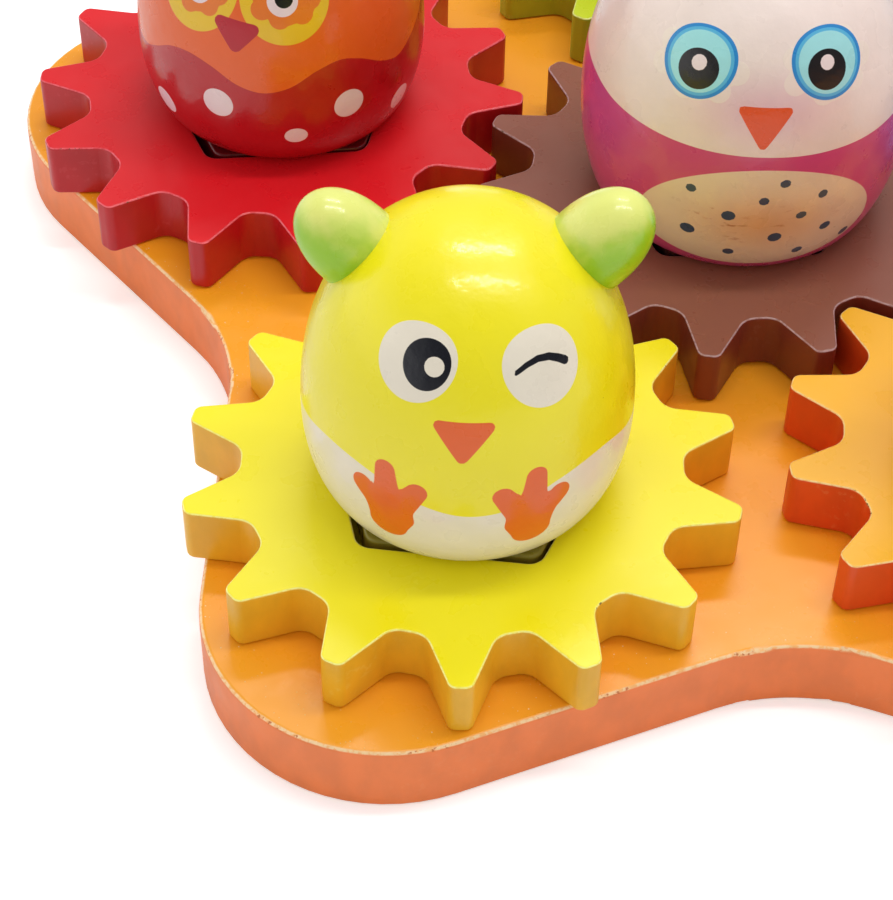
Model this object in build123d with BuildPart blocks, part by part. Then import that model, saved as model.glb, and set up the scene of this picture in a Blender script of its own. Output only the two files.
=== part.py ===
# Wooden gear toy: six meshing gears on a star-shaped board, each carrying a lift-off bird figure.
# Millimetres. The middle axle is the origin, the underside of the board is z = 0 and the figures face -Y.
from build123d import *
from math import acos, atan2, cos, hypot, pi, radians, sin
import os

# Board: five lobes round a centre a little to the right of the middle axle
BOARD_T = 15.0
BOARD_SHIFT = 3.2
LOBE_RING, LOBE_R = 120.5, 32.9
WAIST_RING, WAIST_R = 145.9, 37.8
BOARD_EDGE = 0.9

# Gears: alike except for how the teeth and the socket are turned
TEETH = 14
TIP_R, ROOT_R = 50.0, 39.0
TIP_HALF, FLANK_TAN = 1.88, 0.369
TIP_FILLET, ROOT_FILLET = 1.75, 3.7
GEAR_T, GEAR_GAP = 11.8, 0.2
GEAR_EDGE = 0.45
GEAR_Z = BOARD_T + GEAR_GAP
GEAR_TOP = GEAR_Z + GEAR_T

# Five-sided socket in each gear and the matching peg under each figure
SOCKET_APOTHEM, SOCKET_CORNER = 21.65, 3.0
SOCKET_FLOOR = 4.0
PEG_APOTHEM, PEG_CORNER, PEG_EDGE = 20.5, 2.6, 0.6
PEG_DEPTH, RECESS_D, RECESS_DEPTH = 7.0, 19.6, 3.2

# Axles: a shoulder screw, a washer let into the gear and a threaded insert let into the board
SHOULDER_D, GEAR_BORE_D = 8.0, 8.1
WASHER_D, WASHER_BORE_D, WASHER_T, WASHER_PLAY = 24.0, 8.6, 1.0, 0.3
HEAD_D, HEAD_T, HEAD_PLAY, HEAD_EDGE = 16.0, 2.6, 0.2, 0.6
HEX_AF, HEX_DEPTH = 5.0, 1.6
THREAD_D, THREAD_END = 5.9, 5.0
INSERT_D, INSERT_BORE_D, INSERT_L = 10.0, 6.0, 9.0
PILOT_D, PILOT_END = 6.4, 4.0
DOWEL_D, DOWEL_L = 8.0, 14.0

# Axle: distance and bearing from the middle, bearing of one tooth, bearing of one socket side
AXLES = {
    "brown": (0.0, 0.0, 3.39, -89.1),
    "red": (94.7, 161.8, 21.43, -85.3),
    "yellow": (93.3, 234.4, 11.6, -97.6),
    "orange": (90.2, 306.3, 5.9, -90.0),
    "green": (94.8, 90.0, 5.6, -92.0),
    "blue": (92.7, 18.0, 19.75, -86.0),
}

# Figure body: height and radius of the widest line, full height, roundness of the top,
# radius of the flat base, roundness of the bottom
SMALL = (17.2, 28.65, 55.4, 2.31, 21.4, 1.91)
LARGE = (22.7, 31.5, 61.0, 2.31, 24.4, 1.81)
# Ear: place of its widest line (sideways, back, up), rise in degrees, radius, length, roundness
SMALL_EAR = (18.9, 4.8, 46.0, 52.0, 8.3, 14.5, 2.2)
LARGE_EAR = (21.0, 5.2, 50.5, 52.0, 8.6, 15.6, 2.2)
EAR_SEAT = 3.0
# Figure: gear it stands on, body, ear, degrees turned from facing -Y, and where it stands in the socket's play
FIGURES = {
    "pink_owl": ("brown", LARGE, LARGE_EAR, -2.5, (0.9, 0.1)),
    "red_owl": ("red", SMALL, SMALL_EAR, -15.5, (0.85, -0.35)),
    "chick": ("yellow", SMALL, SMALL_EAR, -1.5, (0.55, 0.15)),
    "orange_owl": ("orange", SMALL, SMALL_EAR, 3.0, (0.3, -0.2)),
    "green_owl": ("green", SMALL, SMALL_EAR, 4.0, (-0.4, 0.2)),
    "blue_owl": ("blue", SMALL, SMALL_EAR, 8.0, (0.2, 0.4)),
}

RISE = (Align.CENTER, Align.CENTER, Align.MIN)
SINK = (Align.CENTER, Align.CENTER, Align.MAX)


def polar(r, bearing):
    return (r * cos(radians(bearing)), r * sin(radians(bearing)))


def turned(x, y, turn):
    """A step (x, y) of a figure facing -Y, after the figure is turned."""
    c, s = cos(radians(turn)), sin(radians(turn))
    return (x * c - y * s, x * s + y * c)


def flank(lobe, waist, side):
    """Ends of the straight flank between a lobe circle and a waist circle."""
    dx, dy = waist[0] - lobe[0], waist[1] - lobe[1]
    a = atan2(dy, dx) + side * acos((LOBE_R + WAIST_R) / hypot(dx, dy))
    n = (cos(a), sin(a))
    return ((lobe[0] + LOBE_R * n[0], lobe[1] + LOBE_R * n[1]),
            (waist[0] - WAIST_R * n[0], waist[1] - WAIST_R * n[1]))


def tooth_corners(bearing):
    """Corners of all the teeth of a gear, one of them at this bearing, before they are rounded."""
    half_root = TIP_HALF + (TIP_R - ROOT_R) * FLANK_TAN
    corners = []
    for k in range(TEETH):
        for x, y in ((ROOT_R, -half_root), (TIP_R, -TIP_HALF), (TIP_R, TIP_HALF), (ROOT_R, half_root)):
            corners.append(turned(x, y, bearing + 360 / TEETH * k))
    return corners


def oval(r0, r1, z0, z1, roundness, steps=8):
    """Points of a quarter oval from (r0, z0), where it is upright, to (r1, z1), where it is level."""
    quarter = [pi / 2 * k / steps for k in range(steps + 1)]
    return [(r1 + (r0 - r1) * cos(t) ** (2 / roundness), z0 + (z1 - z0) * sin(t) ** (2 / roundness))
            for t in quarter]


os.makedirs("parts", exist_ok=True)
AXLE_POINTS = [polar(distance, bearing) for distance, bearing, *_ in AXLES.values()]

with BuildPart() as base_board:
    with BuildSketch(Plane((BOARD_SHIFT, 0, 0))):
        with BuildLine():
            for k in range(5):
                b = 90 + 72 * k
                lobe, next_lobe = polar(LOBE_RING, b), polar(LOBE_RING, b + 72)
                before, after = polar(WAIST_RING, b - 36), polar(WAIST_RING, b + 36)
                lobe_in = flank(lobe, before, 1)[0]
                lobe_out, waist_in = flank(lobe, after, -1)
                next_in, waist_out = flank(next_lobe, after, 1)
                ThreePointArc(lobe_in, polar(LOBE_RING + LOBE_R, b), lobe_out)
                Line(lobe_out, waist_in)
                ThreePointArc(waist_in, polar(WAIST_RING - WAIST_R, b + 36), waist_out)
                Line(waist_out, next_in)
        make_face()
    extrude(amount=BOARD_T)
    fillet(base_board.faces().filter_by(Axis.Z).edges(), BOARD_EDGE)
    with Locations(*[(x, y, BOARD_T) for x, y in AXLE_POINTS]):
        Cylinder(INSERT_D / 2, INSERT_L, align=SINK, mode=Mode.SUBTRACT)
        Cylinder(PILOT_D / 2, BOARD_T - PILOT_END, align=SINK, mode=Mode.SUBTRACT)
base_board.part.label = "base_board"
export_step(base_board.part, "parts/base_board.step")

with BuildPart() as threaded_inserts:
    with BuildSketch(Plane.XY.offset(BOARD_T - INSERT_L)):
        with Locations(*AXLE_POINTS):
            Circle(INSERT_D / 2)
            Circle(INSERT_BORE_D / 2, mode=Mode.SUBTRACT)
    extrude(amount=INSERT_L)
threaded_inserts.part.label = "threaded_inserts"
export_step(threaded_inserts.part, "parts/threaded_inserts.step")

with BuildPart() as gear_washers:
    with BuildSketch(Plane.XY.offset(BOARD_T)):
        with Locations(*AXLE_POINTS):
            Circle(WASHER_D / 2)
            Circle(WASHER_BORE_D / 2, mode=Mode.SUBTRACT)
    extrude(amount=WASHER_T)
gear_washers.part.label = "gear_washers"
export_step(gear_washers.part, "parts/gear_washers.step")

head_z = GEAR_Z + SOCKET_FLOOR + HEAD_PLAY
with BuildPart() as axle_screws:
    with Locations(*[(x, y, THREAD_END) for x, y in AXLE_POINTS]):
        Cylinder(THREAD_D / 2, BOARD_T - THREAD_END, align=RISE)
    with Locations(*[(x, y, BOARD_T) for x, y in AXLE_POINTS]):
        Cylinder(SHOULDER_D / 2, head_z - BOARD_T, align=RISE)
    with Locations(*[(x, y, head_z) for x, y in AXLE_POINTS]):
        Cylinder(HEAD_D / 2, HEAD_T, align=RISE)
    fillet(axle_screws.faces().filter_by(Axis.Z).group_by(Axis.Z)[-1].edges(), HEAD_EDGE)
    with BuildSketch(Plane.XY.offset(head_z + HEAD_T - HEX_DEPTH)):
        with Locations(*AXLE_POINTS):
            RegularPolygon(HEX_AF / 2, 6, major_radius=False)
    extrude(amount=HEX_DEPTH, mode=Mode.SUBTRACT)
axle_screws.part.label = "axle_screws"
export_step(axle_screws.part, "parts/axle_screws.step")

for name, (distance, bearing, tooth_bearing, socket_bearing) in AXLES.items():
    x, y = polar(distance, bearing)
    with BuildPart() as gear:
        with BuildSketch(Plane((x, y, GEAR_Z))) as outline:
            with BuildLine():
                Polyline(*tooth_corners(tooth_bearing), close=True)
            make_face()
            fillet([v for v in outline.vertices() if hypot(v.X, v.Y) > (TIP_R + ROOT_R) / 2], TIP_FILLET)
            fillet([v for v in outline.vertices() if hypot(v.X, v.Y) < ROOT_R + 1.5], ROOT_FILLET)
        extrude(amount=GEAR_T)
        fillet(gear.faces().filter_by(Axis.Z).edges(), GEAR_EDGE)
        with BuildSketch(Plane((x, y, GEAR_Z + SOCKET_FLOOR))) as socket:
            RegularPolygon(SOCKET_APOTHEM, 5, major_radius=False, rotation=socket_bearing - 36)
            fillet(socket.vertices(), SOCKET_CORNER)
        extrude(amount=GEAR_T, mode=Mode.SUBTRACT)
        fillet(gear.faces().filter_by(Axis.Z).sort_by(Axis.Z)[-1].inner_wires()[0].edges(), GEAR_EDGE)
        with Locations((x, y, GEAR_Z)):
            Cylinder(GEAR_BORE_D / 2, SOCKET_FLOOR, align=RISE, mode=Mode.SUBTRACT)
            Cylinder(WASHER_D / 2 + WASHER_PLAY, WASHER_T - GEAR_GAP, align=RISE, mode=Mode.SUBTRACT)
    gear.part.label = f"gear_{name}"
    export_step(gear.part, f"parts/gear_{name}.step")

for name, (gear_name, shape, ear, turn, (play_x, play_y)) in FIGURES.items():
    distance, bearing, _, socket_bearing = AXLES[gear_name]
    axle_x, axle_y = polar(distance, bearing)
    x, y = axle_x + play_x, axle_y + play_y
    peg_z = GEAR_TOP - PEG_DEPTH
    right, back = (*turned(1, 0, turn), 0), (*turned(0, 1, turn), 0)

    with BuildPart() as peg:
        with BuildSketch(Plane((x, y, peg_z))) as sides:
            RegularPolygon(PEG_APOTHEM, 5, major_radius=False, rotation=socket_bearing - 36)
            fillet(sides.vertices(), PEG_CORNER)
        extrude(amount=PEG_DEPTH)
        fillet(peg.faces().filter_by(Axis.Z).edges(), PEG_EDGE)
        with Locations((x, y, peg_z)):
            Cylinder(RECESS_D / 2, RECESS_DEPTH, align=RISE, mode=Mode.SUBTRACT)
            Cylinder(DOWEL_D / 2, PEG_DEPTH, align=RISE, mode=Mode.SUBTRACT)
    peg.part.label = f"{name}_peg"
    export_step(peg.part, f"parts/{name}_peg.step")

    with BuildPart() as dowel:
        with Locations((x, y, peg_z + RECESS_DEPTH)):
            Cylinder(DOWEL_D / 2, DOWEL_L, align=RISE)
    dowel.part.label = f"{name}_dowel"
    export_step(dowel.part, f"parts/{name}_dowel.step")

    across, behind, up, rise, ear_r, ear_l, ear_round = ear
    ears = []
    for side_name, side in (("left", -1), ("right", 1)):
        ear_x, ear_y = turned(side * across, behind, turn)
        seat = (x + ear_x, y + ear_y, GEAR_TOP + up)
        lean = (*turned(side * cos(radians(rise)), 0, turn), sin(radians(rise)))
        with BuildPart() as bird_ear:
            with BuildSketch(Plane(seat, x_dir=back, z_dir=Vector(back).cross(Vector(lean)))):
                with BuildLine():
                    Spline(*oval(ear_r, 0, 0, ear_l, ear_round), tangents=[(0, 1), (-1, 0)])
                    Polyline((0, ear_l), (0, -EAR_SEAT), (ear_r, -EAR_SEAT), (ear_r, 0))
                make_face()
            revolve(axis=Axis(seat, lean))
        bird_ear.part.label = f"{name}_ear_{side_name}"
        export_step(bird_ear.part, f"parts/{name}_ear_{side_name}.step")
        ears.append(bird_ear.part)

    wide_z, wide_r, height, top_round, base_r, bottom_round = shape
    with BuildPart() as body:
        with BuildSketch(Plane((x, y, GEAR_TOP), x_dir=right, z_dir=(-back[0], -back[1], 0))):
            with BuildLine():
                Spline(*oval(wide_r, base_r, wide_z, 0, bottom_round)[::-1], tangents=[(1, 0), (0, 1)])
                Spline(*oval(wide_r, 0, wide_z, height, top_round), tangents=[(0, 1), (-1, 0)])
                Polyline((0, height), (0, 0), (base_r, 0))
            make_face()
        revolve(axis=Axis((x, y, 0), (0, 0, 1)))
        add([*ears, dowel.part], mode=Mode.SUBTRACT)
    body.part.label = f"{name}_body"
    export_step(body.part, f"parts/{name}_body.step")
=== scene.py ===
# Looks for the wooden gear toy: six gears on a star-shaped board, each with a painted bird figure.
import math

import bpy
import numpy as np
from mathutils import Matrix, Vector

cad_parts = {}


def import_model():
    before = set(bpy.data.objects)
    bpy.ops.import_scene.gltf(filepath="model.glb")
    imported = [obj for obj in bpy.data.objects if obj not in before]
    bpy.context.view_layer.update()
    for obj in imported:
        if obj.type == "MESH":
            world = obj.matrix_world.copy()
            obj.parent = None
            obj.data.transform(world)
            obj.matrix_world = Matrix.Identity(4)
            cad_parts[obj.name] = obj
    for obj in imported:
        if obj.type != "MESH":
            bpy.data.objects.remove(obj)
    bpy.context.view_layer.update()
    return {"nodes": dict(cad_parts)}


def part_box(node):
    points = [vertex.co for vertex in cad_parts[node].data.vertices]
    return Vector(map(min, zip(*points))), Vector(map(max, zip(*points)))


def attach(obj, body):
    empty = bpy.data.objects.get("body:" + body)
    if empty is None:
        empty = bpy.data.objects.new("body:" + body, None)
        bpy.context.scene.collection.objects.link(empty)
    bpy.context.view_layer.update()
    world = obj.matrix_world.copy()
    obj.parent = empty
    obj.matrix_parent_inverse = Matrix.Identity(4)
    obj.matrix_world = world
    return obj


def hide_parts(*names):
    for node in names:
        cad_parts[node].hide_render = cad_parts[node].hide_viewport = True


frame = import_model()
NODES = frame["nodes"]
MM = 0.001

# ---------------------------------------------------------------- the figures' shapes, as in the CAD, mm
# Height of the widest place, radius there, whole height, roundness above, radius at the base, roundness below.
SMALL = (17.2, 28.65, 55.4, 2.31, 21.4, 1.91)
LARGE = (22.7, 31.5, 61.0, 2.31, 24.4, 1.81)
# Shape, and degrees that the figure is turned from facing -Y.
FIGURES = {"pink_owl": (LARGE, -2.5), "red_owl": (SMALL, -15.5), "chick": (SMALL, -1.5),
           "orange_owl": (SMALL, 3.0), "green_owl": (SMALL, 4.0), "blue_owl": (SMALL, 8.0)}
COLUMNS, ROWS = 300, 118  # points round a painted body, and rings up it
EAR_POINTS, EAR_RINGS = 96, 47
EAR_SEAT = 3.0  # how far an ear goes on inside the body, mm
EAR_ROUNDNESS = 2.2


# ---------------------------------------------------------------- materials
def rgb(r, g, b):
    """A colour as it looks on screen, 0 to 255, as Blender's linear colour."""
    part = [c / 255 for c in (r, g, b)]
    return (*[c / 12.92 if c <= 0.04045 else ((c + 0.055) / 1.055) ** 2.4 for c in part], 1.0)


class Finish:
    """A material, with short ways to write its nodes. Lengths are in mm."""

    def __init__(self, name, **surface):
        self.material = bpy.data.materials.new(name)
        self.material.use_nodes = True
        self.tree = self.material.node_tree
        self.surface = self.tree.nodes["Principled BSDF"]
        for socket, value in surface.items():
            self.surface.inputs[socket.replace("_", " ")].default_value = value
        geometry = self.node("NewGeometry")
        self.tilt = self.node("SeparateXYZ", {0: geometry.outputs["Normal"]}).outputs[2]
        self.place = self.node("TexCoord").outputs["Object"]

    def node(self, kind, inputs=(), **settings):
        made = self.tree.nodes.new("ShaderNode" + kind)
        for name, value in settings.items():
            setattr(made, name, value)
        for socket, value in dict(inputs).items():
            self.join(made.inputs[socket], value)
        return made

    def join(self, socket, value):
        if isinstance(value, bpy.types.NodeSocket):
            self.tree.links.new(value, socket)
        else:
            socket.default_value = value

    def math(self, operation, a, b=0.0):
        return self.node("Math", {0: a, 1: b}, operation=operation).outputs[0]

    def ramp(self, value, low, high, least=0.0, most=1.0):
        """least where value is low, most where it is high, eased between."""
        return self.node("MapRange", {0: value, 1: low, 2: high, 3: least, 4: most},
                         interpolation_type="SMOOTHSTEP").outputs[0]

    def mix(self, amount, a, b):
        return self.node("Mix", {0: amount, 6: a, 7: b}, data_type="RGBA").outputs[2]

    def noise(self, size, detail=2.0, stretch=(1, 1, 1)):
        """Noise with lumps of about size mm, drawn out along an axis by stretch."""
        at = self.node("Mapping", {0: self.place, 3: tuple(1 / s for s in stretch)}).outputs[0]
        return self.node("TexNoise", {"Vector": at, "Scale": 1 / (size * MM), "Detail": detail}).outputs[0]

    def specks(self, apart, size, share):
        """Round specks of up to size mm in some of the cells that are apart mm wide."""
        cell = self.node("TexVoronoi", {"Vector": self.place, "Scale": 1 / (apart * MM)})
        kept = self.math("GREATER_THAN", self.node("SeparateColor", {0: cell.outputs["Color"]}).outputs[0], 1 - share)
        spot = self.ramp(cell.outputs["Distance"], size / apart, size / apart * 0.5)
        return self.math("MULTIPLY", kept, spot)

    def away(self, x, y):
        """Distance in mm from an upright line."""
        flat = self.node("Mapping", {0: self.place, 3: (1, 1, 0)}).outputs[0]
        away = self.node("VectorMath", {0: flat, 1: (x * MM, y * MM, 0)}, operation="DISTANCE").outputs["Value"]
        return self.math("DIVIDE", away, MM)

    def drawn(self, name, soft):
        """1 inside a shape drawn on the piece, from its distance attribute."""
        way = self.node("Attribute", attribute_name=name).outputs["Fac"]
        return self.ramp(way, soft, -soft)

    def finish(self, colour, roughness, heights):
        """heights are (value, height in mm where the value is 1)."""
        self.join(self.surface.inputs["Base Color"], colour)
        self.join(self.surface.inputs["Roughness"], roughness)
        normal = None
        for value, height in heights:
            inputs = {"Height": value, "Distance": height * MM, "Strength": 1.0}
            if normal:
                inputs["Normal"] = normal
            normal = self.node("Bump", inputs).outputs[0]
        self.join(self.surface.inputs["Normal"], normal)
        self.join(self.surface.inputs["Coat Normal"], normal)
        return self.material


def shade(colour, by):
    return rgb(*[min(255, c * by) for c in colour])


def painted_wood(name, top, wall, line, chip=(96, 70, 34), worn_wall=0.1, dusty=None):
    """Satin paint on flat board: an even face; walls painted darker, partly where the sawn wood took it less evenly
    and partly as painted shade; a pale line round the upper rim, partly where the paint has drawn thin and partly a
    painted highlight; and a few chips there. worn_wall is how far the walls' worn places take that line's colour, and
    dusty gives where specks of dust lie in the paint."""
    f = Finish(name, Specular_IOR_Level=0.5)
    flat = f.ramp(f.math("ABSOLUTE", f.tilt), 0.35, 0.9)
    face = f.mix(f.noise(45, 2), shade(top, 0.97), shade(top, 1.02))
    # Partly painted shade: the walls take their own colour, darker than the face's.
    side = f.mix(f.ramp(f.noise(6, 4, (1, 1, 1.8)), 0.3, 0.7), shade(wall, 0.97), shade(wall, 1.03))
    worn = f.math("MULTIPLY", f.ramp(f.noise(1.3, 5), 0.57, 0.66), f.ramp(f.noise(15, 2), 0.52, 0.66, 0, worn_wall))
    colour = f.mix(flat, f.mix(worn, side, rgb(*line)), face)
    # Partly a painted highlight: a pale line along the up-facing rounded rim, stronger and weaker along it.
    rim = f.math("MULTIPLY", f.ramp(f.tilt, 0.36, 0.6), f.ramp(f.tilt, 0.98, 0.86))
    colour = f.mix(f.math("MULTIPLY", rim, f.ramp(f.noise(0.8, 5), 0.36, 0.56, 0.4, 0.95)), colour, rgb(*line))
    nick = f.math("MULTIPLY", f.ramp(f.noise(0.7, 3), 0.56, 0.62), f.ramp(f.noise(11, 1), 0.6, 0.66))
    at_rim = f.math("MULTIPLY", f.ramp(f.tilt, 0.2, 0.4, 0, 0.9), f.ramp(f.tilt, 0.93, 0.8))
    colour = f.mix(f.math("MULTIPLY", nick, at_rim), colour, rgb(*chip))
    heights = [(f.noise(1.6, 2), 0.010), (f.noise(0.4, 2), 0.003)]
    if dusty:
        dust = f.math("MULTIPLY", dusty(f), f.math("ADD", f.specks(1.5, 0.17, 0.3), f.specks(0.8, 0.11, 0.2)))
        colour = f.mix(f.math("MULTIPLY", dust, 0.85), colour, rgb(255, 236, 186))
        heights.append((dust, 0.03))
    rough = f.ramp(flat, 0, 1, 0.35, 0.3)
    rough = f.math("ADD", rough, f.ramp(f.noise(6, 3), 0.3, 0.7, -0.04, 0.05))
    return f.finish(colour, rough, heights)


def gloss_paint(name, ground, layers=(), top=None, scuffed=False):
    """Sprayed gloss on turned wood, with drawn layers (attribute, colour, softness in mm, strength) over it: print,
    and on the pink owl also a painted reflection. top is a paler colour for its up-facing side, a painted highlight.
    scuffed wears the print away where the piece has its rubbed attribute."""
    f = Finish(name, Coat_Weight=0.3, Coat_Roughness=0.08)
    colour = f.mix(f.noise(16, 3), shade(ground, 0.98), shade(ground, 1.015))
    # Painted highlight: the colour pales where the surface faces up, as if lit from above.
    if top:
        colour = f.mix(f.ramp(f.math("ADD", f.tilt, f.ramp(f.noise(6, 3), 0.3, 0.7, -0.15, 0.15)), 0.05, 0.85),
                       colour, rgb(*top))
    edges = []
    for layer, tone, soft, strength in layers:
        mask = f.drawn(layer, soft)
        ink = f.mix(f.noise(5, 4), shade(tone, 0.97), shade(tone, 1.02))
        colour = f.mix(f.math("MULTIPLY", mask, strength), colour, ink)
        if soft < 1:
            edges.append(mask)
    nicks = f.math("MULTIPLY", f.specks(4.0, 0.15, 0.12), f.ramp(f.noise(22, 2), 0.5, 0.6, 0, 0.45))
    colour = f.mix(nicks, colour, rgb(96, 62, 44))
    if scuffed:
        rubbed = f.drawn("rubbed", 5.0)
        scratch = f.math("MULTIPLY", f.ramp(f.noise(1.1, 5, (4, 1, 1)), 0.58, 0.66), f.ramp(f.noise(9, 2), 0.46, 0.6))
        colour = f.mix(f.math("MULTIPLY", rubbed, f.math("MULTIPLY", scratch, 0.75)), colour, rgb(172, 92, 44))
    rough = f.ramp(f.noise(7, 4), 0.35, 0.7, 0.26, 0.38)
    heights = [(f.noise(2.6, 3), 0.09), (f.noise(1.1, 2), 0.03)]
    if edges:
        raised = edges[0]
        for mask in edges[1:]:
            raised = f.math("ADD", raised, mask)
        heights.append((raised, 0.012))
    return f.finish(colour, rough, heights)


def metal(name, colour, grain):
    f = Finish(name, Metallic=1.0)
    tone = f.mix(f.noise(1.5, 4, grain), shade(colour, 0.85), rgb(*colour))
    return f.finish(tone, f.ramp(f.noise(2.5, 4), 0.3, 0.7, 0.24, 0.42), [(f.noise(0.25, 2, grain), 0.004)])


def nylon(name):
    f = Finish(name, Subsurface_Weight=0.15, Subsurface_Scale=0.8 * MM)
    tone = f.mix(f.noise(3, 3), rgb(226, 222, 208), rgb(240, 237, 226))
    return f.finish(tone, f.ramp(f.noise(1.2, 3), 0.3, 0.7, 0.38, 0.55), [(f.noise(0.4, 3), 0.006)])


def bare_wood(name):
    f = Finish(name)
    grain = f.noise(0.9, 5, (1, 1, 14))
    tone = f.mix(f.ramp(grain, 0.38, 0.62), rgb(196, 158, 108), rgb(226, 196, 150))
    return f.finish(tone, f.ramp(grain, 0.3, 0.7, 0.55, 0.75), [(grain, 0.05)])


# ---------------------------------------------------------------- drawing on a figure's body
def profile(shape, steps=200):
    """Radius and height in mm up a body's outline, and the way along it from the base."""
    wide_z, wide_r, height, top, base_r, bottom = shape
    t = np.linspace(0, np.pi / 2, steps)
    low = (base_r + (wide_r - base_r) * np.cos(t) ** (2 / bottom), wide_z * (1 - np.sin(t) ** (2 / bottom)))
    high = (wide_r * np.cos(t) ** (2 / top), wide_z + (height - wide_z) * np.sin(t) ** (2 / top))
    r, z = (np.concatenate([a[::-1], b[1:]]) for a, b in zip(low, high))
    return r, z, np.concatenate([[0], np.cumsum(np.hypot(np.diff(r), np.diff(z)))])


class Canvas:
    """Distances in mm to shapes drawn on a body, less than nought inside them.
    A place is given as degrees round from the figure's front, + to the viewer's right, and mm up."""

    def __init__(self, shape, turn, up):
        self.pr, self.pz, self.ps = profile(shape)
        self.turn, self.up = turn, up
        self.r, self.s = np.interp(up, self.pz, self.pr), np.interp(up, self.pz, self.ps)

    def way(self, up):
        return np.interp(up, self.pz, self.ps)

    def across(self, turn, up):
        away = (self.turn - turn + 180) % 360 - 180
        return self.r * np.radians(away), self.s - self.way(up)

    def oval(self, turn, up, a, b=None):
        x, y = self.across(turn, up)
        return (np.hypot(x / a, y / (b or a)) - 1) * min(a, b or a)

    def stroke(self, *points):
        """A line drawn through (turn, up, half width) points."""
        best = np.full(self.r.shape, 99.0)
        for (ta, ua, wa), (tb, ub, wb) in zip(points, points[1:]):
            x, y = self.across(ta, ua)
            bx = np.interp((ua + ub) / 2, self.pz, self.pr) * math.radians(tb - ta)
            by = self.way(ub) - self.way(ua)
            k = np.clip((x * bx + y * by) / (bx * bx + by * by), 0, 1)
            best = np.minimum(best, np.hypot(x - k * bx, y - k * by) - (wa + (wb - wa) * k))
        return best

    def corners(self, points, round_by):
        """A shape with straight sides between (turn, up) corners, rounded outwards."""
        middle = np.mean(points, axis=0)
        x, y = self.across(*middle)
        flat = [(np.interp(u, self.pz, self.pr) * math.radians(t - middle[0]), self.way(u) - self.way(middle[1]))
                for t, u in points]
        best, inside = np.full(x.shape, 99.0), np.zeros(x.shape, bool)
        for (ax, ay), (bx, by) in zip(flat, flat[1:] + flat[:1]):
            ex, ey = bx - ax, by - ay
            k = np.clip(((x - ax) * ex + (y - ay) * ey) / (ex * ex + ey * ey), 0, 1)
            best = np.minimum(best, np.hypot(x - ax - k * ex, y - ay - k * ey))
            inside ^= ((ay > y) != (by > y)) & (x < ax + ex * (y - ay) / (ey or 1e-9))
        return np.where(inside, -best, best) - round_by

    def under(self, *points):
        """Below a smooth line through (turn, up) points that goes all the way round."""
        t, u = np.array(points, float).T
        t, u = np.concatenate([t - 360, t, t + 360]), np.tile(u, 3)
        at = (self.turn + 180) % 360 - 180
        slope = np.gradient(u, t)
        i = np.clip(np.searchsorted(t, at) - 1, 0, len(t) - 2)
        h = t[i + 1] - t[i]
        k = (at - t[i]) / h
        line = ((1 + 2 * k) * (1 - k) ** 2 * u[i] + k * (1 - k) ** 2 * h * slope[i]
                + k * k * (3 - 2 * k) * u[i + 1] + k * k * (k - 1) * h * slope[i + 1])
        return self.s - self.way(line)

    def patch(self, turn, up, half, above, below):
        """A belly patch as seen from the front: half its width, and its height above and below up."""
        x = self.r * np.sin(np.radians(self.turn - turn)) / half
        y = (self.up - up) / np.where(self.up > up, above, below)
        front = np.cos(np.radians(self.turn - turn)) > 0
        n = np.where(self.up > up, 2.0, 2.4)
        inside = (np.abs(x) ** n + np.abs(y) ** n) ** (1 / n) - 1
        return np.where(front, inside * 12, 9.0)


def any_of(*distances):
    return np.minimum.reduce(distances)


def joined(a, b, soft):
    k = np.clip(0.5 + 0.5 * (b - a) / soft, 0, 1)
    return b + (a - b) * k - soft * k * (1 - k)


# Each drawing gives its body's colour and its layers, from the lowest: a distance, a colour and, where the edge is
# soft or the layer thin, a softness in mm and a strength.
CREAM, BLACK, ORANGE = (236, 226, 206), (20, 21, 30), (232, 96, 22)


def pair(c, turn, up, *size):
    return any_of(c.oval(turn, up, *size), c.oval(-turn, up, *size))


def dots(c, places):
    return any_of(*[c.oval(*place) for place in places])


def bird_foot(c, turn, side):
    """Three toes and a heel. side is the way that the inner toe points."""
    foot = c.stroke((turn - side * 4.2, 12.3, 3.5), (turn - side * 3.3, 14.8, 4.4))
    foot = joined(foot, c.stroke((turn - side * 3.3, 14.8, 3.0), (turn - side * 5.3, 25.2, 1.87)), 0.6)
    foot = joined(foot, c.stroke((turn - side * 3.3, 14.8, 3.0), (turn + side * 6.2, 22.1, 1.9)), 0.6)
    return joined(foot, c.stroke((turn - side * 1.5, 13.2, 2.0), (turn - side * 13.8, 19.6, 2.05)), 0.9)


def chick(c):
    band = c.under((-180, 15), (-120, 16.5), (-75, 21.0), (-53, 23.8), (-34.4, 23.2), (-14.1, 19.3), (0, 17.9),
                   (11, 18.4), (32, 22.6), (52, 23.6), (72, 20.6), (120, 16.5))
    wink = c.stroke((19.3, 43.9, 0.42), (24.3, 44.6, 0.48), (29.9, 44.95, 0.56), (35.2, 44.65, 0.62),
                    (39.0, 43.9, 0.68), (41.8, 43.1, 0.74))
    beak = c.corners([(-10.4, 36.3), (7.4, 36.2), (-1.9, 30.6)], 0.95)
    return (244, 230, 18), [
        (any_of(band, c.oval(-23.2, 44.8, 6.75, 6.6), c.oval(31.4, 43.6, 6.9, 6.75)), CREAM),
        (any_of(wink, c.oval(-18.4, 44.9, 4.0, 4.3)), BLACK),
        (c.oval(-14.9, 44.85, 1.65), CREAM),
        (any_of(beak, bird_foot(c, -23.0, 1), bird_foot(c, 18.4, -1)), ORANGE)]


def scallops(c, turn, up, ring, lump):
    """A round eye patch with a wavy edge."""
    lumps = [c.oval(turn + ring * 2.4 * math.cos(k * 0.9), up + ring * 0.66 * math.sin(k * 0.9), lump)
             for k in range(7)]
    return any_of(c.oval(turn, up, ring), *lumps)


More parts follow.
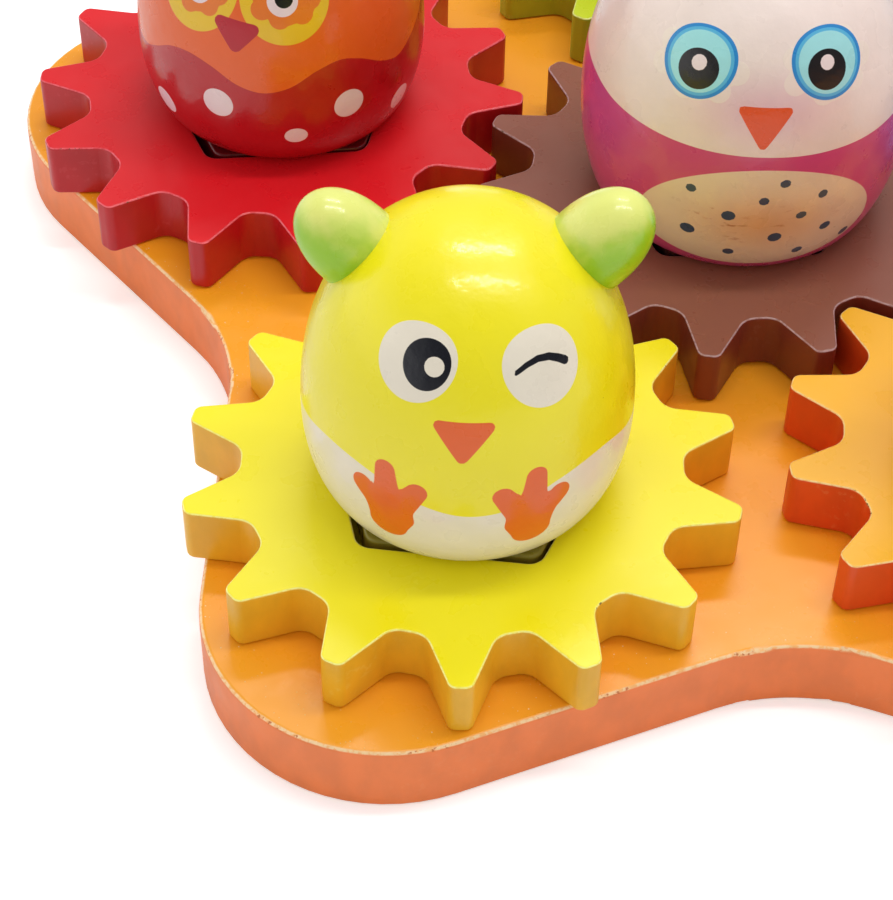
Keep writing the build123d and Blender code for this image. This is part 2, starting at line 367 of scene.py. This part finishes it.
def red_owl(c):
    lower = c.under((-180, 27), (-100, 27), (-88, 25.5), (-75, 21.6), (-62, 21.2), (-48.8, 21.0), (-40.3, 23.1),
                    (-31.4, 25.7), (-22, 26.7), (-10.6, 25.5), (1, 22.4), (10, 21.3), (19.7, 22.3), (32.5, 25.8),
                    (42, 26.9), (50.5, 25.6), (61, 22.6), (70, 21.2), (79, 22.5), (90, 24.8), (100, 27))
    spots = [(-8.2, 17.2, 3.2, 3.3), (44.5, 16.1, 3.2, 3.3), (22.6, 10.2, 2.3, 2.1), (-38.6, 10.0, 3.0),
             (73.4, 9.7, 2.8), (-84, 15, 3.0), (105, 15.5, 3.1), (-125, 10.5, 2.6), (135, 9.5, 2.8), (-160, 16, 3.1),
             (165, 14.5, 2.6)]
    return (230, 96, 26), [
        (lower, (182, 8, 22)),
        (pair(c, 20.6, 39.8, 8.6, 8.5), (232, 190, 36)),
        (any_of(scallops(c, 20.6, 39.9, 4.7, 2.1), scallops(c, -20.6, 39.9, 4.7, 2.1)), (228, 118, 34)),
        (any_of(pair(c, 19.6, 39.9, 2.95), dots(c, spots)), (232, 212, 218)),
        (pair(c, 20.3, 40.3, 1.75), (16, 15, 17)),
        (c.corners([(-7.0, 35.3), (6.8, 34.5), (-0.3, 31.0)], 1.25), (182, 14, 36))]


def pink_owl(c):
    face = c.under((-180, 33.5), (-120, 33.7), (-90, 33.8), (-73.5, 33.6), (-58.2, 32.8), (-45, 32.5), (-20, 32.2),
                   (2, 32.1), (24, 31.9), (45, 32.1), (58, 32.8), (73.5, 33.6), (90, 33.8), (120, 33.7))
    spots = [(-21.5, 23.1, 1.05, 0.95), (9.9, 26.1, 1.05, 0.95), (24.1, 22.1, 1.0, 1.0), (3.4, 22.1, 1.0, 0.95),
             (-7.9, 18.0, 1.35, 1.25), (17.3, 17.7, 1.1, 0.95), (-21.8, 12.4, 1.5, 1.35), (28.2, 12.8, 1.2, 1.1),
             (39.8, 7.8, 1.2, 1.1), (9.3, 12.2, 1.35, 1.3), (-6.4, 7.5, 1.1, 1.0), (19.8, 6.9, 1.1, 1.0)]

    def eyes(*sizes):
        return any_of(c.oval(-27.3, 47.3, *sizes), c.oval(25.6, 47.9, *sizes))

    return (208, 70, 126), [
        # Painted reflection: a lilac sheen on both sides of the magenta, standing in for the pale room reflected
        # there.
        (pair(c, 66, 27, 10, 8), (176, 96, 176), 8.0, 0.4),
        (-face, (240, 222, 214)),
        (c.oval(0, 40.5, 10, 5), (226, 176, 190), 5.5, 0.8),
        (c.patch(3, 12.5, 21.6, 16.8, 9.3), (234, 212, 186)),
        (c.oval(4, 16, 9, 5), (222, 158, 100), 6.0, 0.75),
        (any_of(scallops(c, -27.3, 46.9, 6.6, 2.2), scallops(c, 25.6, 47.4, 6.6, 2.2)), (242, 228, 214), 0.05, 0.6),
        (eyes(7.0, 6.75), (40, 138, 208)),
        (eyes(6.3, 6.15), (86, 180, 222)),
        (eyes(5.7, 5.6), (160, 224, 228)),
        (any_of(c.oval(-26.9, 46.2, 3.85, 3.7), c.oval(24.7, 46.9, 3.8, 3.7)), (26, 22, 26)),
        (any_of(c.oval(-27.2, 47.2, 1.45), c.oval(25.1, 48.0, 1.4)), (236, 218, 216)),
        (c.corners([(-7.4, 41.0), (8.8, 40.9), (0.7, 34.5)], 0.8), (230, 82, 14)),
        (dots(c, spots), (44, 72, 102))]


def plain_owl(ground, lower, belly, ring, iris, spot):
    """An owl like the middle one, for the three figures that the picture doesn't show."""
    def drawing(c):
        places = ((-24, 17), (-12, 21), (1, 17.5), (14, 21), (26, 16.5), (-14, 11.5), (13, 11), (0, 7.0))
        spots = [(t, u, 1.15) for t, u in places]
        return ground, [
            (c.under((-180, 28), (-90, 28.5), (-45, 27.5), (0, 27), (45, 27.5), (90, 28.5)), lower),
            (c.patch(0, 11.0, 18.5, 13.6, 8.0), belly),
            (pair(c, 25, 42.6, 6.2), ring),
            (pair(c, 25, 42.6, 5.0), iris),
            (pair(c, 23.5, 42.2, 3.1), BLACK),
            (pair(c, 22.5, 43.4, 1.1), CREAM),
            (c.corners([(-6.5, 36.6), (6.5, 36.6), (0, 32.0)], 0.9), ORANGE),
            (dots(c, spots), spot)]
    return drawing


DRAWINGS = {
    "chick": chick, "red_owl": red_owl, "pink_owl": pink_owl,
    "orange_owl": plain_owl((240, 160, 50), (205, 88, 30), (240, 214, 160), (150, 70, 30), (246, 226, 120),
                            (170, 78, 40)),
    "green_owl": plain_owl((190, 215, 80), (92, 150, 52), (236, 232, 180), (60, 120, 60), (226, 238, 150),
                           (78, 128, 66)),
    "blue_owl": plain_owl((150, 200, 228), (48, 112, 178), (226, 232, 232), (36, 80, 140), (196, 226, 238),
                          (70, 110, 160)),
}


def painted_body(name):
    """The turned body as a finer mesh than the CAD solid's, with the distances to its print and any painted
    reflection.
    """
    shape, turn = FIGURES[name]
    r, z, s = profile(shape)
    rows = np.interp(np.linspace(0, s[-1], ROWS), s, np.arange(len(s)))
    r, z = np.interp(rows, np.arange(len(s)), r)[:-1], np.interp(rows, np.arange(len(s)), z)[:-1]
    around = np.arange(COLUMNS) * 360 / COLUMNS
    low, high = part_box(name + "_body")
    centre, base = (low + high) / 2, low.z
    bearing = np.radians(around - 90 + turn)
    rings = np.stack([(r[:, None] * np.cos(bearing)) * MM + centre.x, (r[:, None] * np.sin(bearing)) * MM + centre.y,
                      np.repeat(z[:, None], COLUMNS, 1) * MM + base], -1).reshape(-1, 3)
    points = np.concatenate([rings, [[centre.x, centre.y, base], [centre.x, centre.y, base + shape[2] * MM]]])
    i, j = np.meshgrid(np.arange(len(r) - 1), np.arange(COLUMNS), indexing="ij")
    a, b = i * COLUMNS + j, i * COLUMNS + (j + 1) % COLUMNS
    sides = np.stack([a, b, b + COLUMNS, a + COLUMNS], -1).reshape(-1, 4).tolist()
    last = (len(r) - 1) * COLUMNS
    step = range(COLUMNS)
    lid = [[last + k, last + (k + 1) % COLUMNS, len(rings) + 1] for k in step]
    foot = [[(k + 1) % COLUMNS, k, len(rings)] for k in step]
    mesh = bpy.data.meshes.new(name)
    mesh.from_pydata(points.tolist(), [], sides + lid + foot)
    mesh.polygons.foreach_set("use_smooth", [True] * (len(sides) + len(lid)) + [False] * len(foot))
    turns = np.concatenate([np.tile(around, len(r)), [0, 0]])
    ups = np.concatenate([np.repeat(z, COLUMNS), [0, shape[2]]])
    canvas = Canvas(shape, turns, ups)

    def keep(attribute, distance):
        mesh.attributes.new(attribute, "FLOAT", "POINT").data.foreach_set("value", distance.astype(np.float32))

    ground, layers = DRAWINGS[name](canvas)
    named = []
    for number, (distance, colour, *how) in enumerate(layers):
        keep(f"print_{number}", distance)
        named.append((f"print_{number}", colour, *(how or (0.05, 1.0))))
    worn = name == "pink_owl"
    if worn:
        keep("rubbed", canvas.oval(3, 16, 12, 6))
    piece = bpy.data.objects.new(name + "_painted", mesh)
    bpy.context.collection.objects.link(piece)
    mesh.materials.append(gloss_paint(name + "_paint", ground, named, scuffed=worn))
    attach(piece, name)
    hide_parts(name + "_body")


for name in FIGURES:
    painted_body(name)


def chick_ear(side, across, behind, up, rise, lean, radius, length):
    """An ear a little slimmer than the CAD solid's, as in the picture. Lengths in mm, angles in degrees."""
    name = "chick_ear_" + ("right" if side > 0 else "left")
    low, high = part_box("chick_body")
    turn, rise, lean = (math.radians(v) for v in (FIGURES["chick"][1], rise, lean))
    right, back = Vector((math.cos(turn), math.sin(turn), 0)), Vector((-math.sin(turn), math.cos(turn), 0))
    along = side * math.cos(rise) * math.cos(lean) * right + math.cos(rise) * math.sin(lean) * back
    along = (along + Vector((0, 0, math.sin(rise)))).normalized()
    wide = along.cross(back).normalized()
    deep = along.cross(wide)
    seat = Vector(((low.x + high.x) / 2, (low.y + high.y) / 2, low.z))
    seat += (side * across * right + behind * back + Vector((0, 0, up))) * MM
    t = np.linspace(0, np.pi / 2, EAR_RINGS + 1)[:-1]
    power = 2 / EAR_ROUNDNESS
    outline = [(radius, -EAR_SEAT), (radius, -EAR_SEAT / 2),
               *zip(radius * np.cos(t) ** power, length * np.sin(t) ** power)]
    count = EAR_POINTS
    bearings = [k * math.tau / count for k in range(count)]
    points = [seat + (along * float(z) + (wide * math.cos(a) + deep * math.sin(a)) * float(r)) * MM
              for r, z in outline for a in bearings]
    last = len(points) - count
    points.append(seat + along * length * MM)
    faces = [(i + k, i + (k + 1) % count, i + count + (k + 1) % count, i + count + k)
             for i in range(0, last, count) for k in range(count)]
    faces += [(last + k, last + (k + 1) % count, len(points) - 1) for k in range(count)]
    faces.append(tuple(range(count))[::-1])
    mesh = bpy.data.meshes.new(name)
    mesh.from_pydata([tuple(p) for p in points], [], faces)
    mesh.polygons.foreach_set("use_smooth", [True] * (len(faces) - 1) + [False])
    piece = bpy.data.objects.new(name + "_painted", mesh)
    bpy.context.collection.objects.link(piece)
    mesh.materials.append(NODES[name].data.materials[0])
    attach(piece, "chick")
    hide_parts(name)


# ---------------------------------------------------------------- the CAD nodes' finishes
def dress(node, material):
    """Gives a CAD node its material."""
    slots = NODES[node].data.materials
    slots.clear()
    slots.append(material)


# Colours of the face, the walls (darker, partly painted shade) and the line round the rim (partly a painted
# highlight).
GEAR_PAINT = {
    "brown": ((146, 90, 72), (128, 60, 44), (196, 164, 164)),
    "red": ((228, 26, 36), (188, 20, 30), (242, 110, 120)),
    "yellow": ((253, 239, 14), (236, 178, 36), (255, 250, 150)),
    "orange": ((253, 188, 34), (228, 84, 30), (255, 226, 160)),
    "green": ((202, 220, 44), (168, 184, 40), (238, 246, 150)),
    "blue": ((62, 154, 216), (40, 112, 178), (170, 212, 238)),
}
for colour, (top, wall, line) in GEAR_PAINT.items():
    dress("gear_" + colour, painted_wood("gear_" + colour, top, wall, line))


# The board's face, walls (darker, partly painted shade), rim line (partly a painted highlight) and chips.
BOARD_PAINT = ((253, 168, 34), (243, 128, 62), (255, 220, 170), (200, 104, 44))
BOARD_SHIFT = 3.2  # mm along X
LOBE_AT, LOBES = 120.5, (90, 162, 234, 306, 378)  # mm and degrees from the board's middle


def by_the_rim(f):
    """1 near the board's rim, from the middles of its five lobes and its own middle."""
    lobes = [f.away(BOARD_SHIFT + LOBE_AT * math.cos(b), LOBE_AT * math.sin(b)) for b in np.radians(LOBES)]
    nearest = lobes[0]
    for lobe in lobes[1:]:
        nearest = f.math("MINIMUM", nearest, lobe)
    outer = f.math("MULTIPLY", f.ramp(nearest, 19, 32), f.ramp(f.away(BOARD_SHIFT, 0), 92, 106))
    return f.math("MULTIPLY", outer, f.ramp(f.tilt, 0.1, 0.6))


dress("base_board", painted_wood("board_paint", *BOARD_PAINT, worn_wall=0.04, dusty=by_the_rim))
# An ear's own colour, and the paler colour of its upper side, which is a painted highlight.
EARS = {"pink_owl": ((178, 66, 140), (206, 130, 182)), "red_owl": ((196, 24, 34), (222, 84, 84)),
        "chick": ((154, 204, 22), (228, 232, 124)), "orange_owl": ((212, 84, 26), (238, 150, 84)),
        "green_owl": ((98, 160, 48), (160, 204, 104)), "blue_owl": ((48, 114, 188), (120, 172, 220))}
# Painted shade: each peg is a darker copy of its figure's paint, as it looks in the shade down in its socket.
SHADED_PEGS = {"pink_owl": (92, 48, 46), "red_owl": (112, 12, 20), "chick": (150, 138, 44), "orange_owl": (190, 96, 36),
        "green_owl": (110, 128, 46), "blue_owl": (50, 100, 150)}
wood = bare_wood("bare_wood")
steel = metal("steel", (190, 190, 192), (1, 1, 1))
brass = metal("brass", (206, 170, 92), (1, 1, 4))
washer = nylon("nylon")
for name in FIGURES:
    ear = gloss_paint(name + "_ear_paint", EARS[name][0], top=EARS[name][1])
    dress(name + "_ear_left", ear)
    dress(name + "_ear_right", ear)
    dress(name + "_peg", gloss_paint(name + "_peg_paint", SHADED_PEGS[name]))
    dress(name + "_dowel", wood)
chick_ear(-1, 18.8, 5.2, 46.3, 52.4, -10.6, 7.5, 13.15)
chick_ear(1, 19.9, 5.6, 46.9, 53.7, -9.3, 7.65, 13.0)
dress("axle_screws", steel)
dress("gear_washers", washer)
dress("threaded_inserts", brass)


# ---------------------------------------------------------------- floor, light and camera
FLOOR_HALF = 4  # m
FLOOR_GLOW = 0.42  # added to the floor as the camera sees it


def studio():
    """A floor that takes the object's shadow and looks white to the camera."""
    mesh = bpy.data.meshes.new("floor")
    mesh.from_pydata([(-FLOOR_HALF, -FLOOR_HALF, 0), (FLOOR_HALF, -FLOOR_HALF, 0), (FLOOR_HALF, FLOOR_HALF, 0),
                      (-FLOOR_HALF, FLOOR_HALF, 0)], [], [(0, 1, 2, 3)])
    floor = bpy.data.objects.new("floor", mesh)
    bpy.context.collection.objects.link(floor)
    material = bpy.data.materials.new("floor")
    material.use_nodes = True
    tree = material.node_tree
    tree.nodes.clear()
    new, link = tree.nodes.new, tree.links.new
    matt, glow, add = new("ShaderNodeBsdfDiffuse"), new("ShaderNodeEmission"), new("ShaderNodeAddShader")
    out, path, some = new("ShaderNodeOutputMaterial"), new("ShaderNodeLightPath"), new("ShaderNodeMath")
    matt.inputs[0].default_value = (0.9, 0.9, 0.9, 1)
    some.operation = "MULTIPLY"
    some.inputs[1].default_value = FLOOR_GLOW
    link(path.outputs["Is Camera Ray"], some.inputs[0])
    link(some.outputs[0], glow.inputs["Strength"])
    link(matt.outputs[0], add.inputs[0])
    link(glow.outputs[0], add.inputs[1])
    link(add.outputs[0], out.inputs[0])
    mesh.materials.append(material)


def world():
    """White to the camera. As light it is soft and even, and in reflections it is a room with pale surroundings
    behind and to the left."""
    made = bpy.data.worlds.new("studio")
    bpy.context.scene.world = made
    made.use_nodes = True
    tree = made.node_tree
    tree.nodes.clear()

    def node(kind, inputs, **settings):
        fresh = tree.nodes.new("ShaderNode" + kind)
        for key, value in settings.items():
            setattr(fresh, key, value)
        for socket, value in inputs.items():
            if isinstance(value, bpy.types.NodeSocket):
                tree.links.new(value, fresh.inputs[socket])
            else:
                fresh.inputs[socket].default_value = value
        return fresh.outputs

    def rise(value, low, high, least, most, how="SMOOTHSTEP"):
        return node("MapRange", {0: value, 1: low, 2: high, 3: least, 4: most}, interpolation_type=how)[0]

    def sum_of(a, b):
        return node("Math", {0: a, 1: b}, operation="ADD")[0]

    way = node("SeparateXYZ", {0: node("TexCoord", {})["Generated"]})
    even = node("Math", {0: rise(way[2], 0, 1, 1.27, 0.54, "LINEAR"), 1: rise(way[1], -0.9, 0.2, 0.66, 1)},
                operation="MULTIPLY")[0]
    behind = rise(way[1], 0.1, 0.75, 0.13, 0.38)
    left = node("Math", {0: rise(way[0], -0.35, -0.95, 0, 1.0), 1: rise(way[2], 0.8, 0.3, 0, 1)},
                operation="MULTIPLY")[0]
    path = node("LightPath", {})
    glossy = node("Mix", {0: path["Is Glossy Ray"], 2: even, 3: sum_of(behind, left)})[0]
    seen = node("Math", {0: path["Is Camera Ray"], 1: path["Is Transmission Ray"]}, operation="MAXIMUM")[0]
    power = node("Mix", {0: seen, 2: glossy, 3: 1.0})[0]
    sky = node("Background", {0: (1, 1, 1, 1), 1: power})[0]
    node("OutputWorld", {0: sky})


def lamp(name, place, size, power, glossy=True, aim=(0, 0, 0.03)):
    """A lamp whose long side lies along X."""
    data = bpy.data.lights.new(name, "AREA")
    data.shape, data.size, data.size_y, data.energy = "RECTANGLE", *size, power
    made = bpy.data.objects.new(name, data)
    back = (Vector(place) - Vector(aim)).normalized()
    along = (Vector((1, 0, 0)) - back * back.x).normalized()
    turned = Matrix((along, back.cross(along), back)).transposed().to_4x4()
    made.matrix_world = Matrix.Translation(place) @ turned
    made.visible_glossy = glossy
    bpy.context.collection.objects.link(made)


TURN, PITCH, ROLL = math.radians(-1.46), math.radians(47.21), math.radians(0.98)
CAMERA_AT = Vector((-1.105, -7.359, 6.345)) * 50  # mm from the middle gear's top, before TURN
GEAR_TOP = 27  # mm
SENSOR, LENS = 36.0, 97.16


def camera():
    """The photograph's view, as fitted to the gears' outlines."""
    data = bpy.data.cameras.new("camera")
    data.sensor_width, data.lens = SENSOR, LENS
    data.clip_start, data.clip_end = 0.02, 20
    made = bpy.data.objects.new("camera", data)
    forward = Vector((0, math.cos(PITCH), -math.sin(PITCH)))
    right, up = Vector((1, 0, 0)), Vector((0, math.sin(PITCH), math.cos(PITCH)))
    right, up = (math.cos(ROLL) * right + math.sin(ROLL) * up, math.cos(ROLL) * up - math.sin(ROLL) * right)
    about = Matrix.Rotation(TURN, 4, "Z")
    place = about @ CAMERA_AT * MM + Vector((0, 0, GEAR_TOP * MM))
    turned = Matrix((about @ right, about @ up, about @ -forward)).transposed().to_4x4()
    made.matrix_world = Matrix.Translation(place) @ turned
    bpy.context.collection.objects.link(made)
    bpy.context.scene.camera = made


studio()
world()
camera()
lamp("strip_over", (0.14, 0.0, 0.95), (0.70, 0.06), 2.6)
lamp("strip_back", (0.08, 0.46, 0.88), (0.52, 0.06), 2.2)
lamp("overhead", (0.0, -0.1, 1.3), (1.2, 1.0), 0.8, False)
bpy.context.scene.view_settings.view_transform = "Standard"
